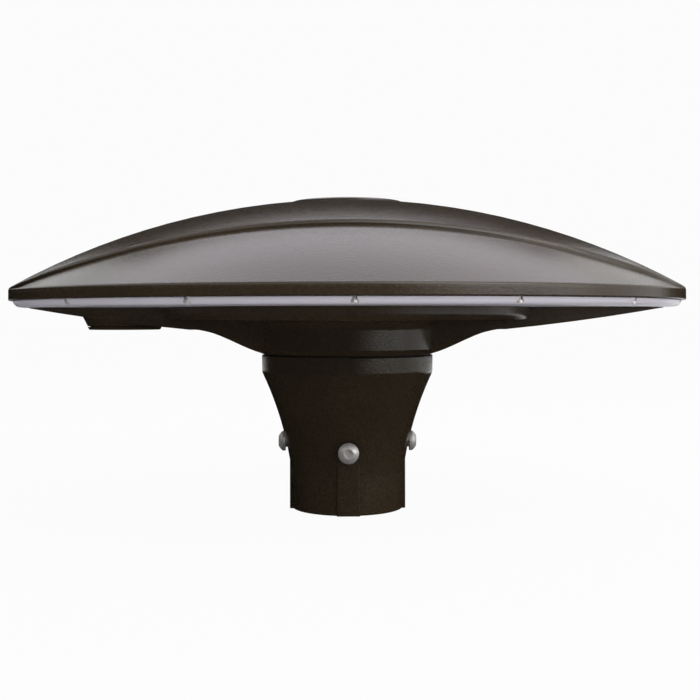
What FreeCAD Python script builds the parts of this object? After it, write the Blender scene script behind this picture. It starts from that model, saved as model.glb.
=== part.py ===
import FreeCAD, Part
import math
import os
import Sketcher
from FreeCAD import Placement, Rotation, Vector

# Garden post top light: a die-cast dish with an LED ring, on a slip fitter for a round post.
# The origin is the centre of the fitter's mouth, +Z is up and the front is -Y. Sizes are in millimetres.

SIZES = {
    # slip fitter
    "tenon_bore_radius": 39,
    "tenon_bore_depth": 108,
    "neck_wall": 6,
    "neck_straight_height": 30,
    "neck_mouth_rounding": 1.2,
    "neck_web_thickness": 14,
    "flare_sweep_radius": 265,
    "collar_radius": 68.3,
    "collar_height": 13.5,
    "collar_top_rounding": 1,
    "collar_lower_rounding": 6,
    "pad_width": 18,
    "pad_rise": 0.9,
    "pad_depth": 4.5,
    "pad_edge_rounding": 1.5,
    "pad_height": 41,
    # clamping screws of the fitter
    "set_screw_radius": 5,
    "set_screw_lift": 1.9,
    "set_screw_head_radius": 7.9,
    "set_screw_head_height": 5.5,
    "set_screw_edge_height": 2.2,
    "set_screw_crown_radius": 4,
    "set_screw_head_sweep": 9,
    "set_screw_socket_flats": 6,
    "set_screw_socket_depth": 3,
    "set_screw_recess": 0.5,
    "set_screw_running_clearance": 0.05,
    "front_screw_height": 48.6,
    "side_screw_height": 52.8,
    "spot_face_radius": 10,
    "spot_face_rise": 1.8,
    # joint of neck and hub
    "neck_gasket_thickness": 1,
    "neck_gasket_inset": 2.3,
    "neck_bolt_count": 4,
    "neck_bolt_inset": 10,
    "neck_bolt_radius": 4,
    "neck_bolt_head_radius": 6.5,
    "neck_bolt_head_height": 8,
    "neck_bolt_grip": 9,
    "inlet_radius": 14,
    "grommet_bore_radius": 9,
    "grommet_flange_width": 4,
    "grommet_flange_height": 2,
    # base casting
    "hub_overhang": 4.2,
    "hub_chamfer": 4,
    "hub_height": 26.2,
    "hub_wall": 10.5,
    "hub_floor_thickness": 8,
    "hub_root_fillet": 7,
    "disc_overhang": 6,
    "disc_thickness": 10.5,
    "disc_edge_fillet": 5,
    "base_floor_thickness": 4,
    "base_rim_height": 2,
    "base_rim_clearance": 0.5,
    "base_gasket_thickness": 1.5,
    "base_gasket_inset": 2,
    "base_screw_count": 6,
    "base_screw_radius": 2.5,
    "base_screw_head_radius": 4.4,
    "base_screw_head_height": 4,
    "base_screw_sink": 5,
    "base_screw_grip": 10,
    # arms of the base casting
    "arm_half_width": 33.5,
    "arm_root_inset": 8.5,
    "arm_root_run": 49.5,
    "arm_tip_inset": 15,
    "arm_tip_thickness": 0.4,
    "arm_knee_depth": 17.4,
    "arm_root_lift": 0.3,
    "arm_hub_lift": 2.8,
    "arm_chamfer": 1.2,
    "arm_root_chamfer": 5.5,
    "arm_tip_chamfer": 0.2,
    "arm_belly": 1.2,
    "arm_lens_gap": 0.3,
    # sensor port under the left arm
    "sensor_tip_offset": 67,
    "sensor_boss_inset": 0.1,
    "sensor_boss_taper": 4.3,
    "sensor_boss_height": 8.4,
    "sensor_boss_drop": 0.1,
    "sensor_port_radius": 19,
    "sensor_wire_radius": 2.5,
    "sensor_wire_drop": 3.5,
    "sensor_gasket_thickness": 0.6,
    "sensor_gasket_inset": 2,
    "sensor_cover_thickness": 2.2,
    "sensor_cover_taper": 1.2,
    "sensor_spigot_height": 5,
    "sensor_spigot_clearance": 0.4,
    "sensor_spigot_wall": 2.5,
    "sensor_screw_count": 3,
    "sensor_screw_grip": 4.5,
    "sensor_screw_sink": 1.4,
    "sensor_screw_head_height": 1.2,
    # bay for the driver, between base and dome
    "bay_radius": 126,
    "bay_wall": 14,
    # lens ring
    "lens_inner_clearance": 1,
    "lens_inner_wall": 3.5,
    "lens_rim_inset": 3.3,
    "lens_height": 4.3,
    "lens_wall": 2,
    "lens_flange_margin": 1.5,
    "lens_flange_thickness": 2,
    "lens_corner_run": 6.7,
    "lens_corner_rise": 3.7,
    "lens_corner_sweep": 5.5,
    "lens_screw_count": 16,
    "lens_screw_inset": 2.4,
    "lens_screw_radius": 1,
    "lens_screw_head_radius": 1.9,
    "lens_screw_head_height": 1.8,
    "lens_screw_slot_clearance": 0.3,
    "lens_pocket_clearance": 0.3,
    "lens_screw_grip": 3.4,
    "outer_gasket_thickness": 0.3,
    "outer_gasket_clearance": 0.5,
    "inner_gasket_thickness": 1,
    # small pan-head screws, shared by plate, boards, devices and sensor cover
    "small_screw_radius": 1.5,
    "small_screw_head_radius": 2.7,
    "small_screw_head_height": 2.1,
    "screw_hole_clearance": 0.1,
    "screw_tip_clearance": 0.4,
    # dome
    "dome_radius": 260,
    "rim_height": 9.1,
    "rim_width": 14,
    "rim_shoulder_rounding": 3.5,
    "rim_lower_rounding": 0.8,
    "crown_rise": 70.1,
    "dome_wall": 5,
    "ridge_offset": 169,
    "ridge_sweep": 650,
    "ridge_bend": 140,
    "ridge_end_sweep": 170,
    "ridge_end_turn": 53.3,
    "ridge_step": 3,
    "ridge_rounding": 2.6,
    "ridge_skim": 0.02,
    "rim_lip_width": 4.5,
    "rim_lip_drop": 1.4,
    "rim_lip_rounding": 3,
    "rim_lip_margin": 0.1,
    "panel_wall": 4.4,
    # LED plate and boards
    "ledge_height": 5,
    "ledge_width": 6.5,
    "led_plate_thickness": 3,
    "led_plate_clearance": 0.5,
    "plate_screw_count": 8,
    "plate_screw_inset": 3.2,
    "plate_screw_grip": 3,
    "led_board_width": 63,
    "led_board_half_angle": 70,
    "led_board_thickness": 1.5,
    "board_screw_half_angle": 62,
    "board_screw_count": 3,
    "board_screw_grip": 2.1,
    "emitter_row_inset": 16,
    "emitter_side": 5,
    "emitter_height": 0.8,
    "emitter_count": 16,
    "emitter_half_angle": 66,
    # crown
    "crown_radius": 46,
    "crown_land_clearance": 0.4,
    "crown_seat_drop": 2,
    "crown_height": 6.1,
    "crown_edge_height": 3.2,
    "crown_bevel_run": 2,
    "crown_bevel_height": 4.2,
    "crown_skirt": 1.6,
    "crown_skirt_gap": 0.3,
    "crown_gasket_thickness": 1,
    "crown_gasket_width": 15,
    "crown_gasket_clearance": 0.6,
    "crown_port_margin": 5,
    "crown_boss_inset": 2,
    "crown_boss_thickness": 6,
    "crown_screw_count": 4,
    "crown_screw_radius": 2,
    "crown_screw_head_radius": 3.6,
    "crown_screw_head_height": 2.6,
    "crown_screw_grip": 2.4,
    # driver tray
    "tray_end_margin": 12,
    "tray_thickness": 2,
    "tray_boss_height": 6,
    "tray_boss_radius": 5,
    "tray_boss_inset": 7,
    "tray_screw_radius": 2,
    "tray_screw_head_radius": 3.6,
    "tray_screw_head_height": 2.6,
    "tray_screw_grip": 4.5,
    "tray_wire_hole_radius": 12,
    "driver_length": 148,
    "driver_width": 58,
    "driver_height": 34,
    "driver_rear_margin": 6,
    "driver_foot_tab": 9,
    "driver_foot_thickness": 3,
    "driver_hole_pitch": 36,
    "device_gap": 14,
    "surge_length": 58,
    "surge_width": 32,
    "surge_height": 28,
    "surge_end_margin": 16,
    "surge_front_margin": 8,
    "terminal_length": 54,
    "terminal_width": 22,
    "terminal_height": 18,
    "terminal_step": 7,
    "terminal_end_margin": 22,
    "terminal_front_margin": 10,
    "device_hole_inset": 11,
    "device_screw_grip": 5,
}

# Heights and radii that follow from the sizes, as expressions over the sheet.
# From the mouth of the neck upward: hub, disc, lens, rim, LED plate, crown.
NECK_RADIUS = "(dim.tenon_bore_radius + dim.neck_wall)"
NECK_TOP = "(dim.tenon_bore_depth + dim.neck_web_thickness)"
PAD_FACE = f"({NECK_RADIUS} + dim.pad_rise)"
SPOT_FACE = f"({PAD_FACE} + dim.spot_face_rise)"
SET_SCREW_TIP = "(dim.tenon_bore_radius + dim.set_screw_recess)"
SET_SCREW_LENGTH = f"({SPOT_FACE} + dim.set_screw_lift - {SET_SCREW_TIP})"
HUB_BOTTOM = f"({NECK_TOP} + dim.neck_gasket_thickness)"
HUB_FLOOR = f"({HUB_BOTTOM} + dim.hub_floor_thickness)"
HUB_RADIUS = "(dim.collar_radius + dim.hub_overhang)"
HUB_INNER = f"({HUB_RADIUS} - dim.hub_wall)"
NECK_BOLT_CIRCLE = f"({HUB_INNER} - dim.neck_bolt_inset)"
DISC_BOTTOM = f"({HUB_BOTTOM} + dim.hub_height)"
DISC_TOP = f"({DISC_BOTTOM} + dim.disc_thickness)"
BASE_FLOOR = f"({DISC_BOTTOM} + dim.base_floor_thickness)"
BASE_TOP = f"({DISC_TOP} + dim.base_rim_height)"
BAY_OUTER = "(dim.bay_radius + dim.bay_wall)"
DISC_RADIUS = f"({BAY_OUTER} + dim.disc_overhang)"
BAY_WALL_BOTTOM = f"({BASE_TOP} + dim.base_gasket_thickness)"
LENS_TOP = f"({DISC_TOP} + dim.lens_height)"
LENS_SCREW_SEAT = f"({LENS_TOP} - dim.lens_flange_thickness)"
RIM_BOTTOM = f"({LENS_TOP} + dim.outer_gasket_thickness)"
RIM_TOP = f"({RIM_BOTTOM} + dim.rim_height)"
RIM_INNER = "(dim.dome_radius - dim.rim_width)"
LENS_INNER = f"({BAY_OUTER} + dim.lens_inner_clearance)"
LENS_INNER_WALL = f"({LENS_INNER} + dim.lens_inner_wall)"
LENS_OUTER = "(dim.dome_radius - dim.lens_rim_inset)"
LENS_FLANGE_INNER = f"({RIM_INNER} + dim.lens_flange_margin)"
LENS_SCREW_CIRCLE = f"({LENS_OUTER} - dim.lens_screw_inset)"
LEDGE = f"({RIM_BOTTOM} + dim.ledge_height)"
PLATE_BOTTOM = f"({LEDGE} - dim.led_plate_thickness)"
LENS_INNER_TOP = f"({PLATE_BOTTOM} - dim.inner_gasket_thickness)"
BOARD_BOTTOM = f"({PLATE_BOTTOM} - dim.led_board_thickness)"
BOARD_MIDDLE = f"(({LENS_INNER} + {RIM_INNER}) / 2)"
BOARD_INNER = f"({BOARD_MIDDLE} - dim.led_board_width / 2)"
BOARD_OUTER = f"({BOARD_MIDDLE} + dim.led_board_width / 2)"
APEX = f"({RIM_TOP} + dim.crown_rise)"
BALL_RADIUS = "((dim.dome_radius^2 + dim.crown_rise^2) / (2 * dim.crown_rise))"
TRAY_BOTTOM = f"({BASE_FLOOR} + dim.tray_boss_height)"
TRAY_TOP = f"({TRAY_BOTTOM} + dim.tray_thickness)"
TRAY_HALF_LENGTH = "(dim.driver_length / 2 + dim.driver_foot_tab + dim.tray_end_margin)"
DEVICE_STRIP = "(dim.device_gap + dim.surge_width + dim.surge_front_margin)"
TRAY_HALF_WIDTH = f"((dim.driver_rear_margin + dim.driver_width + {DEVICE_STRIP}) / 2)"
DRIVER_Y = f"({TRAY_HALF_WIDTH} - dim.driver_rear_margin - dim.driver_width / 2)"
SURGE_X = f"(dim.surge_end_margin + dim.surge_length / 2 - {TRAY_HALF_LENGTH})"
SURGE_Y = f"(dim.surge_front_margin + dim.surge_width / 2 - {TRAY_HALF_WIDTH})"
TERMINAL_X = f"({TRAY_HALF_LENGTH} - dim.terminal_end_margin - dim.terminal_length / 2)"
TERMINAL_Y = f"(dim.terminal_front_margin + dim.terminal_width / 2 - {TRAY_HALF_WIDTH})"


def dome_height(radius, inset="0"):
    """Height of the dome's outer ball at a radius, or of the ball that lies inset from it."""
    return f"({APEX} - {BALL_RADIUS} + sqrt(({BALL_RADIUS} - {inset})^2 - {radius}^2))"


PANEL_FOOT_RADIUS = "(dim.dome_radius - dim.rim_lip_width)"
PANEL_FOOT = dome_height(PANEL_FOOT_RADIUS, "dim.ridge_step")
PANEL_INSIDE = "(dim.ridge_step + dim.panel_wall)"
RIDGE_LEAN = "asin(dim.ridge_bend / dim.ridge_sweep)"
RIDGE_END_LEAN = f"({RIDGE_LEAN} + dim.ridge_end_turn * 1 deg)"
RIDGE_BEND_Y = f"(dim.ridge_offset - dim.ridge_sweep * (1 - cos({RIDGE_LEAN})))"
RIDGE_END_X = f"(dim.ridge_bend + dim.ridge_end_sweep * (sin({RIDGE_END_LEAN}) - sin({RIDGE_LEAN})))"
RIDGE_END_Y = f"({RIDGE_BEND_Y} - dim.ridge_end_sweep * (cos({RIDGE_LEAN}) - cos({RIDGE_END_LEAN})))"
RIDGE_TIP = f"({RIDGE_END_X} + {RIDGE_END_Y} / tan({RIDGE_END_LEAN}))"

CROWN_LAND = "(dim.crown_radius + dim.crown_land_clearance)"
CROWN_SKIRT_INNER = "(dim.crown_radius - dim.crown_skirt)"
CROWN_GASKET_OUTER = f"({CROWN_SKIRT_INNER} - dim.crown_gasket_clearance)"
CROWN_GASKET_INNER = f"({CROWN_GASKET_OUTER} - dim.crown_gasket_width)"
CROWN_SCREW_CIRCLE = f"(({CROWN_GASKET_OUTER} + {CROWN_GASKET_INNER}) / 2)"
CROWN_PORT = f"({CROWN_GASKET_INNER} - dim.crown_port_margin)"
CROWN_BOSS = "(dim.crown_radius - dim.crown_boss_inset)"
CROWN_SEAT = f"({dome_height(CROWN_LAND)} - dim.crown_seat_drop)"
CROWN_BOSS_BOTTOM = f"({CROWN_SEAT} - dim.crown_boss_thickness)"
CAP_BOTTOM = f"({CROWN_SEAT} + dim.crown_gasket_thickness)"
CAP_TOP = f"({CROWN_SEAT} + dim.crown_height)"
CAP_EDGE = "(dim.crown_radius - dim.crown_bevel_run)"
CAP_RISE = "(dim.crown_height - dim.crown_bevel_height)"
CAP_SWEEP = f"(({CAP_EDGE}^2 + {CAP_RISE}^2) / (2 * {CAP_RISE}))"

ARM_ROOT = f"({HUB_RADIUS} - dim.arm_root_inset)"
ARM_KNEE = f"({HUB_RADIUS} + dim.arm_root_run)"
ARM_TIP = "(dim.dome_radius - dim.arm_tip_inset)"
ARM_TOP = f"({DISC_TOP} - dim.arm_lens_gap)"
ARM_KNEE_BOTTOM = f"({DISC_TOP} - dim.arm_knee_depth)"
ARM_TIP_BOTTOM = f"({ARM_TOP} - dim.arm_tip_thickness)"
ARM_SLOPE = f"(({ARM_TIP_BOTTOM} - {ARM_KNEE_BOTTOM}) / ({ARM_TIP} - {ARM_KNEE}))"
ARM_KNEE_SLOPE = f"({ARM_SLOPE} - 4 * dim.arm_belly / ({ARM_TIP} - {ARM_KNEE}))"
ARM_HUB_BOTTOM = f"({HUB_BOTTOM} + dim.arm_hub_lift)"
ARM_DROP = f"({ARM_KNEE_BOTTOM} - {ARM_HUB_BOTTOM} - dim.arm_root_run * {ARM_KNEE_SLOPE})"
ARM_DROOP = f"({ARM_DROP} / dim.arm_root_run^2)"


def arm_outer_bottom(distance):
    """Underside of the arm between knee and tip: a straight slope that bellies down in the middle."""
    share = f"(({distance} - {ARM_KNEE}) / ({ARM_TIP} - {ARM_KNEE}))"
    slope = f"{ARM_KNEE_BOTTOM} + ({distance} - {ARM_KNEE}) * {ARM_SLOPE}"
    return f"({slope} - 4 * dim.arm_belly * {share} * (1 - {share}))"


SENSOR_X = f"(dim.sensor_tip_offset - {ARM_TIP})"
SENSOR_BOSS_TOP_RADIUS = "(dim.arm_half_width - dim.sensor_boss_inset)"
SENSOR_BOSS_RADIUS = f"({SENSOR_BOSS_TOP_RADIUS} - dim.sensor_boss_taper)"
SENSOR_SCREW_CIRCLE = f"((dim.sensor_port_radius + {SENSOR_BOSS_RADIUS}) / 2)"
SENSOR_INNER_EDGE = f"(-{SENSOR_X} - {SENSOR_BOSS_RADIUS})"
SENSOR_ARM_BOTTOM = arm_outer_bottom(SENSOR_INNER_EDGE)
SENSOR_BOSS_BOTTOM = f"({SENSOR_ARM_BOTTOM} - dim.sensor_boss_drop)"
SENSOR_WIRE = f"({DISC_TOP} - dim.sensor_wire_drop)"
SENSOR_COVER_TOP = f"({SENSOR_BOSS_BOTTOM} - dim.sensor_gasket_thickness)"
SENSOR_COVER_BOTTOM = f"({SENSOR_COVER_TOP} - dim.sensor_cover_thickness)"

doc = FreeCAD.newDocument("post_top_light")
sheet = doc.addObject("Spreadsheet::Sheet", "dim")
for row, (alias, size) in enumerate(SIZES.items(), start=1):
    sheet.set(f"A{row}", alias)
    sheet.set(f"B{row}", str(size))
    sheet.setAlias(f"B{row}", alias)
doc.recompute()

nodes = []


# Building blocks: sketches bound to the sheet, and the features made from them

OPPOSITE_PAIR = "2"
ALL_FOUR_SIDES = "4"


def number(expression):
    """What an expression over the sheet comes to."""
    result = sheet.evalExpression(expression)
    return float(getattr(result, "Value", result))


def new_body(label):
    """A body for one sub-part, which is written out under its label."""
    body = doc.addObject("PartDesign::Body", label)
    body.Label = label
    nodes.append(body)
    return body


def origin_feature(body, role):
    return next(item for item in body.Origin.OriginFeatures if item.Role == role)


def new_sketch(body, name, plane, offset):
    sketch = body.newObject("Sketcher::SketchObject", f"{body.Name}_{name}")
    sketch.AttachmentSupport = [(origin_feature(body, plane), "")]
    sketch.MapMode = "FlatFace"
    if offset:
        sketch.setExpression("AttachmentOffset.Base.z", offset)
    return sketch


def bind(sketch, constraint, expression):
    index = sketch.addConstraint(constraint)
    sketch.setExpression(f"Constraints[{index}]", expression)


def pin_point(sketch, item, end, corner):
    """Hold one end of a sketch item at a corner given by two expressions."""
    across, along = corner
    bind(sketch, Sketcher.Constraint("DistanceX", -1, 1, item, end, number(across)), across)
    bind(sketch, Sketcher.Constraint("DistanceY", -1, 1, item, end, number(along)), along)


def arc_between(start, finish, radius, side):
    """The short arc from start to finish whose centre lies to the left or right of the way there."""
    chord = finish - start
    half = chord.Length / 2
    toward = Vector(-chord.y, chord.x, 0).normalize()
    if side == "right":
        toward = toward * -1
    centre = start + chord * 0.5 + toward * math.sqrt(radius ** 2 - half ** 2)
    circle = Part.Circle(centre, Vector(0, 0, 1), radius)
    first, last = (start, finish) if side == "left" else (finish, start)
    return Part.ArcOfCircle(circle, circle.parameter(first), circle.parameter(last))


def outline(body, name, plane, corners, arcs=None, offset=None):
    """A closed outline through corners; arcs maps a corner's index to the arc that starts there."""
    arcs = arcs or {}
    sketch = new_sketch(body, name, plane, offset)
    points = [Vector(number(across), number(along), 0) for across, along in corners]
    ends = []
    for index, start in enumerate(points):
        finish = points[(index + 1) % len(points)]
        if index in arcs:
            radius, side = arcs[index]
            item = sketch.addGeometry(arc_between(start, finish, number(radius), side), False)
            bind(sketch, Sketcher.Constraint("Radius", item, number(radius)), radius)
            ends.append((item, 1, 2) if side == "left" else (item, 2, 1))
        else:
            item = sketch.addGeometry(Part.LineSegment(start, finish), False)
            ends.append((item, 1, 2))
    for index, (item, first, last) in enumerate(ends):
        next_item, next_first, _ = ends[(index + 1) % len(ends)]
        sketch.addConstraint(Sketcher.Constraint("Coincident", item, last, next_item, next_first))
        pin_point(sketch, item, first, corners[index])
    return sketch


def circles(body, name, plane, centres, radius, offset=None):
    """A sketch of equal circles on the given centres."""
    sketch = new_sketch(body, name, plane, offset)
    size = number(radius)
    for centre in centres:
        place = Vector(number(centre[0]), number(centre[1]), 0)
        item = sketch.addGeometry(Part.Circle(place, Vector(0, 0, 1), size), False)
        pin_point(sketch, item, 3, centre)
        bind(sketch, Sketcher.Constraint("Radius", item, size), radius)
    return sketch


def volume_of(body):
    return body.Shape.Volume if body.Shape.Solids else 0.0


def feature(body, kind, sketch, **settings):
    """Add a feature made from a sketch, and see that it added or took away material."""
    before = volume_of(body)
    made = body.newObject(f"PartDesign::{kind}", f"{sketch.Name}_{kind}")
    made.Profile = sketch
    for key, setting in settings.items():
        if key == "Length":
            made.setExpression("Length", setting)
        else:
            setattr(made, key, setting)
    doc.recompute()
    change = volume_of(body) - before
    takes_away = kind in ("Pocket", "Groove")
    if takes_away == (change > 0) or abs(change) < 1e-6:
        raise RuntimeError(f"{made.Name} changed the volume by {change}")
    return made


def revolve(body, sketch, kind="Revolution"):
    return feature(body, kind, sketch, ReferenceAxis=(sketch, ["V_Axis"]), Angle=360)


def pad(body, sketch, length, downward=False):
    return feature(body, "Pad", sketch, Length=length, Reversed=downward)


def pocket(body, sketch, depth, upward=False):
    return feature(body, "Pocket", sketch, Length=depth, Reversed=upward)


def polar(body, originals, count, angle=360):
    """Repeat features round the upright axis."""
    pattern = body.newObject("PartDesign::PolarPattern", f"{originals[-1].Name}_ring")
    pattern.Originals = originals
    pattern.Axis = (origin_feature(body, "Z_Axis"), [""])
    if isinstance(angle, str):
        pattern.setExpression("Angle", angle)
    else:
        pattern.Angle = angle
    pattern.setExpression("Occurrences", count)
    body.Tip = pattern
    doc.recompute()
    return pattern


def round_edge(body, kind, radius_at, height_at, size):
    """Fillet or chamfer the ring edge at a radius and height."""
    base = body.Tip
    place = (number(radius_at), number(height_at))
    names = []
    for index, edge in enumerate(base.Shape.Edges, start=1):
        middle = edge.valueAt((edge.FirstParameter + edge.LastParameter) / 2)
        here = (math.hypot(middle.x, middle.y), middle.z)
        on_ring = math.dist(here, place) < 1e-3 and isinstance(edge.Curve, Part.Circle)
        if on_ring:
            names.append(f"Edge{index}")
    made = body.newObject(f"PartDesign::{kind}", f"{body.Name}_{size}")
    made.Base = (base, names)
    made.setExpression("Radius" if kind == "Fillet" else "Size", f"dim.{size}")
    doc.recompute()
    return made


def rectangle(left, right, low, high):
    return [(left, low), (right, low), (right, high), (left, high)]


def centred(length, width, x="0", y="0"):
    """A rectangle of a length and width about a centre."""
    return rectangle(f"{x} - {length} / 2", f"{x} + {length} / 2", f"{y} - {width} / 2", f"{y} + {width} / 2")


def ring(label, inner, outer, bottom, top):
    """A flat ring, such as a gasket or plate."""
    body = new_body(label)
    revolve(body, outline(body, "section", "XZ_Plane", rectangle(inner, outer, bottom, top)))
    return body


def on_circle(radius, angle):
    """A centre on a circle, at an angle in degrees from +X."""
    return (f"{radius} * cos({angle} deg)", f"{radius} * sin({angle} deg)")


def screws(label, centres, radius, head_radius, head_height, seat, length, head_down=True, count=None):
    """Fasteners whose heads seat at one height, with shanks on the other side of it."""
    body = new_body(label)
    heads = pad(body, circles(body, "heads", "XY_Plane", centres, head_radius, seat), head_height, head_down)
    shanks = pad(body, circles(body, "shanks", "XY_Plane", centres, radius, seat), length, not head_down)
    if count:
        polar(body, [heads, shanks], count)
    return body


def drill(body, name, centres, radius, start, depth, upward=True, count=None):
    """Holes from one height, up or down, repeated round the axis where there is a count."""
    sketch = circles(body, name, "XY_Plane", centres, radius, start)
    hole = pocket(body, sketch, depth, upward)
    if count:
        polar(body, [hole], count)
    return hole


LENS_HOLE = "(dim.lens_screw_radius + dim.screw_hole_clearance)"
SMALL_HOLE = "(dim.small_screw_radius + dim.screw_hole_clearance)"
TRAY_HOLE = "(dim.tray_screw_radius + dim.screw_hole_clearance)"
CROWN_HOLE = "(dim.crown_screw_radius + dim.screw_hole_clearance)"
BASE_HOLE = "(dim.base_screw_radius + dim.screw_hole_clearance)"
BOLT_HOLE = "(dim.neck_bolt_radius + dim.screw_hole_clearance)"

# Places that the two pieces of each joint share
LENS_SCREW = on_circle(LENS_SCREW_CIRCLE, 90)
PLATE_SCREW = on_circle(f"({RIM_INNER} - dim.plate_screw_inset)", 22.5)
BASE_SCREW = on_circle("(dim.bay_radius + dim.bay_wall / 2)", 30)
NECK_BOLT = on_circle(NECK_BOLT_CIRCLE, 45)
CROWN_SCREW = on_circle(CROWN_SCREW_CIRCLE, 45)


# Slip fitter: collar, concave flare, straight mouth with four flat pads, and the bore for the post


def make_neck():
    neck = new_body("neck")
    corners = [
        ("dim.tenon_bore_radius", "0"),
        (NECK_RADIUS, "0"),
        (NECK_RADIUS, "dim.neck_straight_height"),
        ("dim.collar_radius", f"{NECK_TOP} - dim.collar_height"),
        ("dim.collar_radius", NECK_TOP),
        ("dim.inlet_radius", NECK_TOP),
        ("dim.inlet_radius", "dim.tenon_bore_depth"),
        ("dim.tenon_bore_radius", "dim.tenon_bore_depth"),
    ]
    revolve(neck, outline(neck, "section", "XZ_Plane", corners, {2: ("dim.flare_sweep_radius", "right")}))
    round_edge(neck, "Fillet", "dim.collar_radius", NECK_TOP, "collar_top_rounding")
    round_edge(neck, "Fillet", "dim.collar_radius", f"{NECK_TOP} - dim.collar_height", "collar_lower_rounding")
    round_edge(neck, "Chamfer", NECK_RADIUS, "0", "neck_mouth_rounding")
    half = "dim.pad_width / 2"
    soft = "dim.pad_edge_rounding"
    block = [
        (f"-{half}", f"{soft} - {PAD_FACE}"),
        (f"{soft} - {half}", f"-{PAD_FACE}"),
        (f"{half} - {soft}", f"-{PAD_FACE}"),
        (half, f"{soft} - {PAD_FACE}"),
        (half, f"dim.pad_depth - {PAD_FACE}"),
        (f"-{half}", f"dim.pad_depth - {PAD_FACE}"),
    ]
    rounding = {0: (soft, "left"), 2: (soft, "left")}
    flat = pad(neck, outline(neck, "pad", "XY_Plane", block, rounding), "dim.pad_height")
    polar(neck, [flat], ALL_FOUR_SIDES)
    for plane, height in (("XZ_Plane", "dim.front_screw_height"), ("YZ_Plane", "dim.side_screw_height")):
        centre = [("0", height)]
        face = circles(neck, f"spot_{plane[:2]}", plane, centre, "dim.spot_face_radius", SPOT_FACE)
        spot = pocket(neck, face, "dim.collar_radius", upward=True)
        thread = "dim.set_screw_radius + dim.set_screw_running_clearance"
        hole = circles(neck, f"thread_{plane[:2]}", plane, centre, thread, SPOT_FACE)
        bored = pocket(neck, hole, SPOT_FACE)
        polar(neck, [spot, bored], OPPOSITE_PAIR)
    depth = "dim.neck_bolt_grip + dim.screw_tip_clearance"
    count = "dim.neck_bolt_count"
    drill(neck, "bolt_holes", [NECK_BOLT], BOLT_HOLE, NECK_TOP, depth, upward=False, count=count)
    round_edge(neck, "Chamfer", "dim.tenon_bore_radius", "0", "neck_mouth_rounding")


def make_set_screw(label, outward, height):
    """One button-head clamping screw, drawn upright on its tip and laid along its hole."""
    screw = new_body(label)
    head_top = f"{SET_SCREW_LENGTH} + dim.set_screw_head_height"
    corners = [
        ("0", "0"),
        ("dim.set_screw_radius", "0"),
        ("dim.set_screw_radius", SET_SCREW_LENGTH),
        ("dim.set_screw_head_radius", SET_SCREW_LENGTH),
        ("dim.set_screw_head_radius", f"{SET_SCREW_LENGTH} + dim.set_screw_edge_height"),
        ("dim.set_screw_crown_radius", head_top),
        ("0", head_top),
    ]
    revolve(screw, outline(screw, "section", "XZ_Plane", corners, {4: ("dim.set_screw_head_sweep", "left")}))
    corner_radius = "dim.set_screw_socket_flats / sqrt(3)"
    hexagon = [on_circle(corner_radius, 60 * step) for step in range(6)]
    pocket(screw, outline(screw, "socket", "XY_Plane", hexagon, offset=head_top), "dim.set_screw_socket_depth")
    screw.Placement = Placement(Vector(), Rotation(Vector(0, 0, 1), outward))
    screw.setExpression("Placement.Base.x", f"{outward.x} * {SET_SCREW_TIP}")
    screw.setExpression("Placement.Base.y", f"{outward.y} * {SET_SCREW_TIP}")
    screw.setExpression("Placement.Base.z", height)


def make_neck_joint():
    gasket = ring(
        "neck_gasket",
        "dim.inlet_radius",
        "dim.collar_radius - dim.neck_gasket_inset",
        NECK_TOP,
        HUB_BOTTOM,
    )
    count = "dim.neck_bolt_count"
    drill(gasket, "bolt_holes", [NECK_BOLT], BOLT_HOLE, NECK_TOP, "dim.neck_gasket_thickness", count=count)
    screws(
        "neck_bolts",
        [NECK_BOLT],
        "dim.neck_bolt_radius",
        "dim.neck_bolt_head_radius",
        "dim.neck_bolt_head_height",
        HUB_FLOOR,
        f"{HUB_FLOOR} - {NECK_TOP} + dim.neck_bolt_grip",
        head_down=False,
        count=count,
    )
    grommet = new_body("hub_grommet")
    sleeve = "dim.inlet_radius - dim.screw_hole_clearance"
    corners = [
        ("dim.grommet_bore_radius", HUB_BOTTOM),
        (sleeve, HUB_BOTTOM),
        (sleeve, HUB_FLOOR),
        ("dim.inlet_radius + dim.grommet_flange_width", HUB_FLOOR),
        ("dim.inlet_radius + dim.grommet_flange_width", f"{HUB_FLOOR} + dim.grommet_flange_height"),
        ("dim.grommet_bore_radius", f"{HUB_FLOOR} + dim.grommet_flange_height"),
    ]
    revolve(grommet, outline(grommet, "section", "XZ_Plane", corners))


# Base casting: hub, disc, two tapering arms, sensor boss and the floor of the driver bay


def arm_inner_bottom(distance):
    """Underside of the arm between hub and knee: the slope at the knee, drawn down towards the hub."""
    back = f"({ARM_KNEE} - {distance})"
    return f"({ARM_KNEE_BOTTOM} - {back} * {ARM_KNEE_SLOPE} - {back}^2 * {ARM_DROOP})"


def arm_section(body, name, distance, bottom, chamfer):
    half = "dim.arm_half_width"
    corners = [
        (f"-{half}", ARM_TOP),
        (f"-{half}", f"{bottom} + {chamfer}"),
        (f"-({half} - {chamfer})", bottom),
        (f"{half} - {chamfer}", bottom),
        (half, f"{bottom} + {chamfer}"),
        (half, ARM_TOP),
    ]
    return outline(body, name, "YZ_Plane", corners, offset=distance)


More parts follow.
